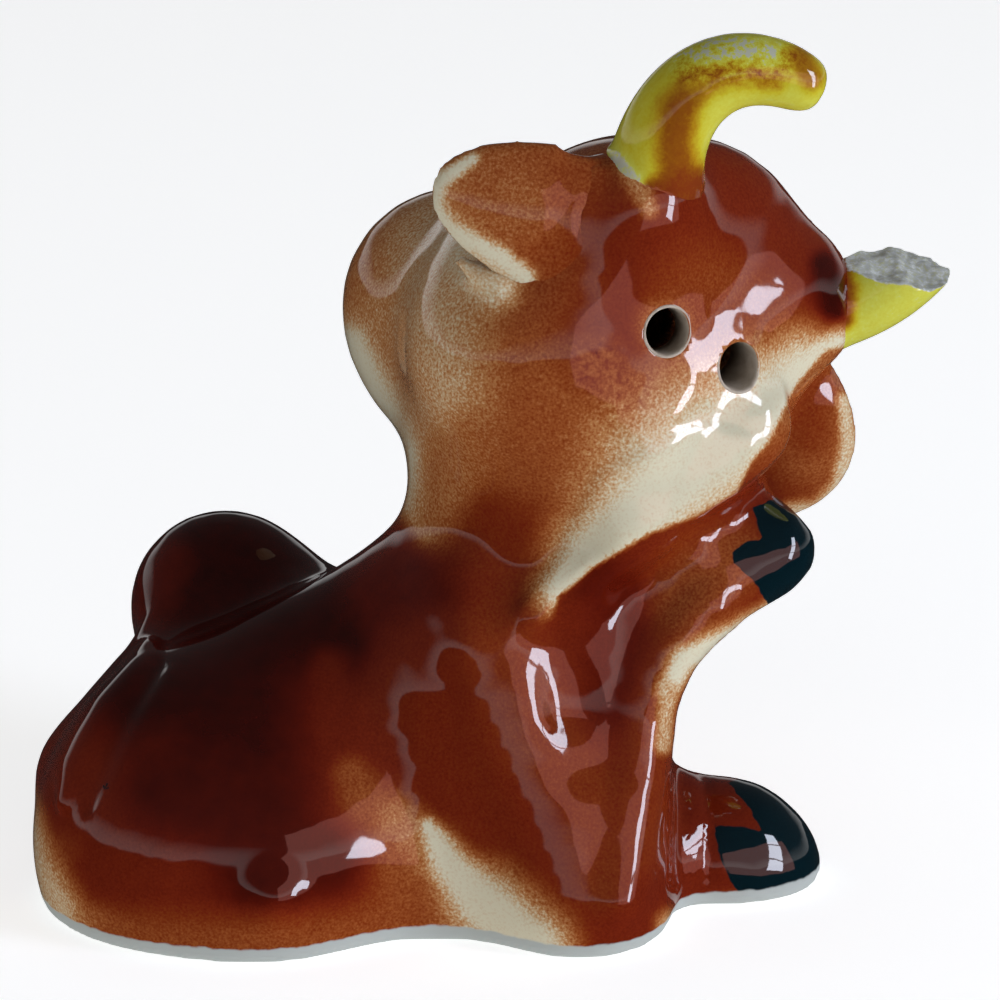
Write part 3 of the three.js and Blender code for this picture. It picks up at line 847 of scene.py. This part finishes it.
# The section of the glaze round a pour hole: radius, and height over the skin
LIP_SECTION = [
    (1.98, -2.9), (1.76, -2.9), (1.8, -0.5), (1.83, -0.14), (1.9, 0.02), (2, 0.06),
    (2.1, 0.02), (2.18, -0.12), (2.16, -0.5), (2, -1.2),
]
LIP_SIDES = 72
LIP_FOOT = 2.2  # radius at which the skin's height is felt
LIP_DEPTH = 2  # depth at which the glaze stops following the skin
CORK_RIM = 0.35  # width of the cork's worn edge

NEAR_EAR_SPRAY = [
    ("middle", 0.48, [(486, 195, 54), (520, 205, 62)]),
    ("root", 0.62, [(584, 190, 56)]),
    ("rim", 0.0, [
        (474, 158, 10), (436, 184, 18), (431, 208, 20), (446, 229, 19), (470, 244, 18),
        (500, 257, 18), (526, 278, 18),
    ]),
    ("fold", 0.1, [(474, 264, 20), (500, 286, 20)]),
]
HANGING_EAR_SPRAY = [
    ("whole", 0.5, [(830, 370, 90), (820, 440, 90)]),
    ("middle", 0.68, [(808, 380, 44), (808, 430, 46)]),
    ("rim", 0.12, [(844, 400, 12), (849, 445, 15), (840, 488, 17), (818, 512, 22), (790, 512, 18)]),
]


def rod(name, path):
    """A round rod along a path, whose stops end with their radius."""
    curve = bpy.data.curves.new(name, "CURVE")
    curve.dimensions = "3D"
    curve.bevel_depth = MM
    curve.bevel_resolution = 8
    curve.resolution_u = 8
    curve.use_fill_caps = True
    line = curve.splines.new("NURBS")
    line.points.add(len(path) - 1)
    line.use_endpoint_u = True
    for point, (x, y, z, radius) in zip(line.points, path):
        point.co = (*spot(x, y, z), 1)
        point.radius = radius
    drawn = new_object(name, curve)
    view = bpy.context.evaluated_depsgraph_get()
    mesh = bpy.data.meshes.new_from_object(drawn.evaluated_get(view))
    bpy.data.objects.remove(drawn)
    return new_object(name, mesh)


def horn_root(side):
    """The root of the broken horn (1) or of the whole one (-1)."""
    return on_head(side * HORN["side"], -HORN["back"], HORN["up"])


def horn_path(side, bends):
    """A horn's stops in the potter's frame, each with its radius."""
    root = horn_root(side)
    return [(root.x + x, root.y + y, root.z + z, radius) for x, y, z, radius in bends]


def pressed(clay, forms):
    """The casting's clay with forms pressed on to it."""
    shape = clay.copy()
    for form in forms:
        shape.from_mesh(form.data)
        bpy.data.objects.remove(form)
    return shape


def blank_of(clay, forms):
    """The casting with forms pressed on to it, rubbed into one skin."""
    return knead(piece_of(pressed(clay, forms), "blank"), **BLANK_MESH)


def luted(name, blank, skin, path):
    """What stands on the casting round a path, closed off just under the casting's skin."""
    points = places(blank)
    near = nearness(points, path) > 0
    tip = int(np.argmin(np.linalg.norm(points - path[-1][:3], axis=1)))
    shape = bmesh.new()
    shape.from_mesh(blank.data)
    shape.verts.ensure_lookup_table()
    kept = {tip}
    edge = [shape.verts[tip]]
    while edge:
        fresh = [link.other_vert(corner) for corner in edge for link in corner.link_edges]
        edge = list({corner for corner in fresh if near[corner.index] and corner.index not in kept})
        kept.update(corner.index for corner in edge)
    lost = [corner for corner in shape.verts if corner.index not in kept]
    bmesh.ops.delete(shape, geom=lost, context="VERTS")
    for corner in shape.verts:
        hit, facing, _, _ = skin.find_nearest(corner.co)
        proud = (corner.co - hit).dot(facing) / MM
        corner.co -= facing * SINK * MM * float(1 - eased(proud / FEATHER))
    rim = [link for link in shape.edges if link.is_boundary]
    bmesh.ops.holes_fill(shape, edges=rim, sides=0)
    bmesh.ops.triangulate(shape, faces=[face for face in shape.faces if len(face.verts) > 4])
    return piece_of(shape, name)


def horn(name, path, reach, blank, skin):
    """The part of a horn that stands on the head."""
    around = [(x, y, z, radius + reach) for x, y, z, radius in path[INSIDE:]]
    return luted(name, blank, skin, around)


def whole_horn(blank, skin):
    """The horn that still has its tip."""
    piece = horn("whole_horn", horn_path(-1, HORN_BENDS), HORN_REACH, blank, skin)
    spray, seen, near = sprayed(piece, HORN_SPRAY, HORN_GROUND)
    keep(piece, spray=spray, scratches=nearness(seen, HORN_SCRATCHES) * near, bare=-FAR)
    return piece


def fracture_height(x, y):
    """How far the clay of the fracture stands above its plane, in mm."""
    return sum(
        noise.noise(Vector((x * pitch, y * pitch, seed))) * height
        for pitch, height, seed in FRACTURE_GRAIN
    )


def lost_horn(place):
    """What broke off, with its rough face at a place."""
    tool = bmesh.new()
    squares, lost = FRACTURE["squares"], FRACTURE["lost"] * MM
    bmesh.ops.create_grid(tool, x_segments=squares, y_segments=squares, size=FRACTURE["half"] * MM)
    top = bmesh.ops.extrude_face_region(tool, geom=tool.faces[:])["geom"]
    top = [item for item in top if isinstance(item, bmesh.types.BMVert)]
    bmesh.ops.translate(tool, verts=top, vec=(0, 0, lost))
    for corner in tool.verts:
        if corner.co.z < lost / 2:
            corner.co.z = fracture_height(corner.co.x / MM, corner.co.y / MM) * MM
    bmesh.ops.recalc_face_normals(tool, faces=tool.faces)
    tool.transform(place)
    return piece_of(tool, "lost_horn")


def broken_horn(blank, skin):
    """The stub of the other horn, with bare clay where it broke."""
    piece = horn("broken_horn", horn_path(1, STUB_BENDS), STUB_REACH, blank, skin)
    root = horn_root(1)
    level = spot(root.x + FRACTURE["out"], root.y, root.z + FRACTURE["up"])
    tilt, lean = turned(FRACTURE["tilt"], "Y", 4), turned(FRACTURE["lean"], "X", 4)
    place = Matrix.Translation(level) @ tilt @ lean
    cut(piece, lost_horn(place))
    home = place.inverted()
    local = [home @ corner.co / MM for corner in piece.data.vertices]
    depth = [fracture_height(point.x, point.y) - point.z for point in local]
    spray, _, _ = sprayed(piece, STUB_SPRAY, STUB_GROUND)
    keep(piece, spray=spray, scratches=0, bare=BREAK_EDGE - np.array(depth))
    return piece


def ear_form(root, tip, facing, fullest):
    """A leaf of clay: thin, cupped and arched, with a rolled rim."""
    start, end = on_head(*root), on_head(*tip)
    along = (end - start).normalized()
    across = Vector(facing).cross(along).normalized()
    normal = along.cross(across)
    length = (end - start).length
    shape = bmesh.new()
    bmesh.ops.create_uvsphere(shape, u_segments=72, v_segments=40, radius=1)
    for corner in shape.verts:
        share = min(max((corner.co.x + 1) / 2, 0), 1)
        skew = share ** (math.log(0.5) / math.log(fullest))
        width = EAR["half_width"] * math.sqrt(max(1 - (2 * skew - 1) ** 2, 0))
        flat = math.sqrt(max(1 - corner.co.x ** 2, 1e-6))
        side = min(max(corner.co.y / flat, -1), 1)
        blunt = math.copysign(math.sqrt(abs(corner.co.z)), corner.co.z)
        thick = EAR["half_thick"] * blunt * (1 + EAR["roll"] * side ** 4)
        dip = EAR["cup"] * side ** 2 * width / EAR["half_width"]
        rise = EAR["arch"] * math.sin(math.pi * share) - dip + thick
        place = start + along * share * length + across * side * width + normal * rise
        corner.co = spot(*place)
    return piece_of(shape, "ear_form")


def ear(name, blank, skin, reach, strokes):
    """The part of an ear that stands on the head, glazed like the casting."""
    piece = luted(name, blank, skin, [(*on_head(*place), radius) for place, radius in reach])
    spray, _, _ = sprayed(piece, NEAR_SPRAY_AND_SHADE + strokes, ground(piece))
    keep(piece, spray=spray, stipple=0, ink=FAR, bare=-FAR)
    return piece


def pour_lip(name, mouth, axis, tree):
    """The rolled edge of glaze round a pour hole, and the first of its bare bore."""
    place = Matrix.Translation(mouth) @ axis.to_track_quat("Z", "Y").to_matrix().to_4x4()
    home = place.inverted()
    shape = bmesh.new()
    rows = []
    for side in range(LIP_SIDES):
        turn = Matrix.Rotation(2 * math.pi * side / LIP_SIDES, 3, "Z") * MM
        rows.append([shape.verts.new(turn @ Vector((out, 0, up))) for out, up in LIP_SECTION])
    for row, beside in zip(rows, rows[1:] + rows[:1]):
        for stop in range(len(row)):
            shape.faces.new((row[stop - 1], row[stop], beside[stop], beside[stop - 1]))
    bmesh.ops.recalc_face_normals(shape, faces=shape.faces)
    for corner in shape.verts:
        above = corner.co.copy()
        above.xy *= LIP_FOOT * MM / corner.co.xy.length
        above.z = MOUTH_RING["above"] * MM
        hit = tree.ray_cast(place @ above, -axis)[0]
        share = min(1, max(0, 1 + corner.co.z / (LIP_DEPTH * MM)))
        corner.co.z += (home @ hit).z * share
    shape.transform(place)
    return piece_of(shape, name)


def cork():
    """The stopper, with its edges worn."""
    piece = piece_of(clay_of("stopper"), "cork_stopper")
    rim = piece.modifiers.new("rim", "BEVEL")
    rim.width = CORK_RIM * MM
    rim.segments = 3
    return settle(piece)


# Materials

# Colours by the density of the spray, from none (0) to the most (1)
SPRAY_TONES = [
    (0, (0.7, 0.645, 0.475)), (0.15, (0.6, 0.4, 0.22)), (0.3, (0.47, 0.205, 0.072)),
    (0.5, (0.32, 0.085, 0.02)), (0.68, (0.21, 0.032, 0.006)), (0.78, (0.165, 0.016, 0.004)),
    (0.87, (0.105, 0.007, 0.002)), (0.95, (0.045, 0.003, 0.0015)), (1, (0.014, 0.002, 0.0015)),
]
HORN_TONES = [
    (0, (0.5, 0.5, 0.4)), (0.1, (0.6, 0.6, 0.085)), (0.35, (0.55, 0.46, 0.025)),
    (0.6, (0.42, 0.22, 0.008)), (0.8, (0.27, 0.085, 0.005)), (1, (0.21, 0.034, 0.006)),
]
BLACK = (0.0015, 0.01, 0.014, 1)
RIM_CLAY = (0.42, 0.45, 0.43, 1)
GLOSS = 0.05  # roughness of the glaze
RIM_ROUGHNESS = 0.8
BREAK_ROUGHNESS = 0.9
GLAZE_IOR = 1.52
LEAST_DOTS = 0.05  # how speckled the bare cream is

# Where the black, the bare rim and the fracture begin and are full, in mm past their outline
BLACK_EDGE = (0.07, -0.07)
RIM_EDGE = (-0.1, 0.15)
BREAK_FADE = (-0.05, 0.08)

# Spots of each mottle: their size in mm, how much they add or take, and their detail
SPECKLE = {"size": 0.22, "strength": 4.5}
CLOUD = {"size": 1.6, "strength": 0.05, "detail": 3}
LUMPS = {"size": 0.6, "strength": 0.6, "detail": 3}
WOBBLE = {"size": 1.2, "strength": 0.5}
HORN_SPECKLE = {"size": 0.25, "strength": 0.2}
HORN_PATCHES = {"size": 0.7, "detail": 5, "roughness": 0.7}
# How patchy the horn's colour is, and how much more so where it is scratched
SCRATCHED = {"least": 0.3, "more": 1.7}

# The spots of other clay and cork: their size, detail and roughness, and their tones
CHALK = {
    "spots": (0.5, 5, 0.7),
    "tones": [(0.3, (0.22, 0.23, 0.23)), (0.5, (0.5, 0.52, 0.51)), (0.7, (0.78, 0.8, 0.79))],
}
# Bare bisque for the pour holes, its tones darkened as painted shade inside the bore
SHADED_BISQUE = {
    "spots": (0.8, 4), "roughness": 0.6,
    "tones": [(0.3, (0.26, 0.19, 0.13)), (0.7, (0.5, 0.43, 0.35))],
}
CORK = {
    "spots": (0.9, 6, 0.7), "roughness": 0.85,
    "tones": [(0.3, (0.14, 0.07, 0.03)), (0.5, (0.42, 0.26, 0.13)), (0.7, (0.58, 0.4, 0.22))],
}


def value_of(material, name):
    """The number that the mesh keeps under a name."""
    return step(material, "ShaderNodeAttribute", attribute_name=name).outputs["Fac"]


def grain(material, size, detail=2, roughness=0.5):
    """Noise with spots of a size in millimetres."""
    where = step(material, "ShaderNodeTexCoord").outputs["Object"]
    sockets = {"Vector": where, "Scale": 1 / (size * MM), "Detail": detail, "Roughness": roughness}
    return step(material, "ShaderNodeTexNoise", sockets).outputs["Fac"]


def result(material, operation, first, second):
    """What an operation makes of two numbers, each bare or a node's output."""
    return step(material, "ShaderNodeMath", {0: first, 1: second}, operation=operation).outputs[0]


def total(material, first, second):
    """Two numbers added."""
    return result(material, "ADD", first, second)


def product(material, first, second):
    """Two numbers multiplied."""
    return result(material, "MULTIPLY", first, second)


def mottle(material, size, strength, detail=2, roughness=0.5):
    """Noise that adds as much as it takes."""
    centred = total(material, grain(material, size, detail, roughness), -0.5)
    return product(material, centred, strength)


def between(material, value, low, high):
    """0 up to a low value, 1 from a high one, and smooth between them."""
    sockets = {"Value": value, "From Min": low, "From Max": high}
    node = step(material, "ShaderNodeMapRange", sockets, interpolation_type="SMOOTHSTEP")
    return node.outputs["Result"]


def mixed(material, share, first, second):
    """The first colour where the share is 0, turning to the second where it is 1."""
    sockets = {0: share, 6: first, 7: second}
    return step(material, "ShaderNodeMix", sockets, data_type="RGBA").outputs[2]


def glaze(material, shader, color, bare, bare_roughness):
    """Glaze of a colour, matt where the clay is bare."""
    sockets = {"Value": bare, "To Min": GLOSS, "To Max": bare_roughness}
    rough = step(material, "ShaderNodeMapRange", sockets).outputs["Result"]
    fill(material, shader, {"Base Color": color, "Roughness": rough, "IOR": GLAZE_IOR})
    return material


def body_glaze():
    """Brown sprayed over cream, most speckled where it is thin, with black and a bare foot."""
    material, shader = recipe("body_glaze")
    spray = value_of(material, "spray")
    missing = result(material, "SUBTRACT", 1, spray)
    dotted = product(material, missing, missing)
    thin = product(material, dotted, total(material, spray, LEAST_DOTS))
    dots = product(material, mottle(material, **SPECKLE), thin)
    speckle = total(material, dots, mottle(material, **CLOUD))
    stipple = product(material, value_of(material, "stipple"), mottle(material, **LUMPS))
    density = total(material, total(material, spray, speckle), stipple)
    wobble = mottle(material, **WOBBLE)
    ink = between(material, total(material, value_of(material, "ink"), wobble), *BLACK_EDGE)
    bare = between(material, total(material, value_of(material, "bare"), wobble), *RIM_EDGE)
    inked = mixed(material, ink, toned(material, density, SPRAY_TONES), BLACK)
    return glaze(material, shader, mixed(material, bare, inked, RIM_CLAY), bare, RIM_ROUGHNESS)


def horn_glaze():
    """Brown over lime yellow, patchy where it is scratched, and the chalky fracture."""
    material, shader = recipe("horn_glaze")
    scratched = product(material, value_of(material, "scratches"), SCRATCHED["more"])
    strength = total(material, scratched, SCRATCHED["least"])
    patches = mottle(material, strength=strength, **HORN_PATCHES)
    speckle = mottle(material, **HORN_SPECKLE)
    density = total(material, value_of(material, "spray"), total(material, patches, speckle))
    broken = between(material, total(material, value_of(material, "bare"), speckle), *BREAK_FADE)
    chalk = toned(material, grain(material, *CHALK["spots"]), CHALK["tones"])
    color = mixed(material, broken, toned(material, density, HORN_TONES), chalk)
    return glaze(material, shader, color, broken, BREAK_ROUGHNESS)


def plain(name, spots, tones, roughness):
    """A matt material of spotted tones."""
    material, shader = recipe(name)
    color = toned(material, grain(material, *spots), tones)
    fill(material, shader, {"Base Color": color, "Roughness": roughness})
    return material


def dress(piece, material, slot, *nodes, body="ceramic"):
    """Gives a piece its finish, the CAD nodes it stands for and the body it rides on."""
    piece.data.materials.clear()
    piece.data.materials.append(material)
    piece.data.shade_smooth()
    if nodes:
        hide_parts(*nodes)
    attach(piece, body)


set_camera()
set_window()
for name, settings in SOFT_BOXES.items():
    soft_box(name, **settings)
set_world()
set_stage()

clay, bores = plugged_clay()
horn_blank = blank_of(clay, [
    rod("horn_form", horn_path(-1, HORN_BENDS)),
    rod("horn_form", horn_path(1, STUB_BENDS)),
])
ear_blank = blank_of(clay, [
    ear_form(**NEAR_EAR), ear_form(**HANGING_EAR), rod("ear_bridge", EAR_BRIDGE),
])
rub(ear_blank, [spot(*stop[:3]) for stop in EAR_BRIDGE], **EAR_BRIDGE_RUB)
body = casting(clay, [mouth for mouth, _ in bores])
clay.free()
skin = skin_of(body)
drill(body, bores)
paint(body)

coat = body_glaze()
# The pour holes' bisque, darkened as painted shade for their bores
shaded_bisque = plain("shaded_bisque", **SHADED_BISQUE)
yellow = horn_glaze()
dress(body, coat, "body_glaze", "cast_body")
for (name, _, _), (mouth, axis) in zip(POUR_HOLES, bores):
    dress(pour_lip(name, mouth, axis, skin), shaded_bisque, "body_glaze")
dress(whole_horn(horn_blank, skin), yellow, "horn_glaze", "horn_whole")
dress(broken_horn(horn_blank, skin), yellow, "horn_glaze", "horn_stub")
for name, reach, strokes, node in (
    ("near_ear", NEAR_EAR_REACH, NEAR_EAR_SPRAY, "ear_near"),
    ("hanging_ear", HANGING_EAR_REACH, HANGING_EAR_SPRAY, "ear_hanging"),
):
    dress(ear(name, ear_blank, skin, reach, strokes), coat, "ear_glaze", node)
bpy.data.objects.remove(horn_blank)
bpy.data.objects.remove(ear_blank)
dress(cork(), plain("cork", **CORK), "cork", "stopper", body="stopper")
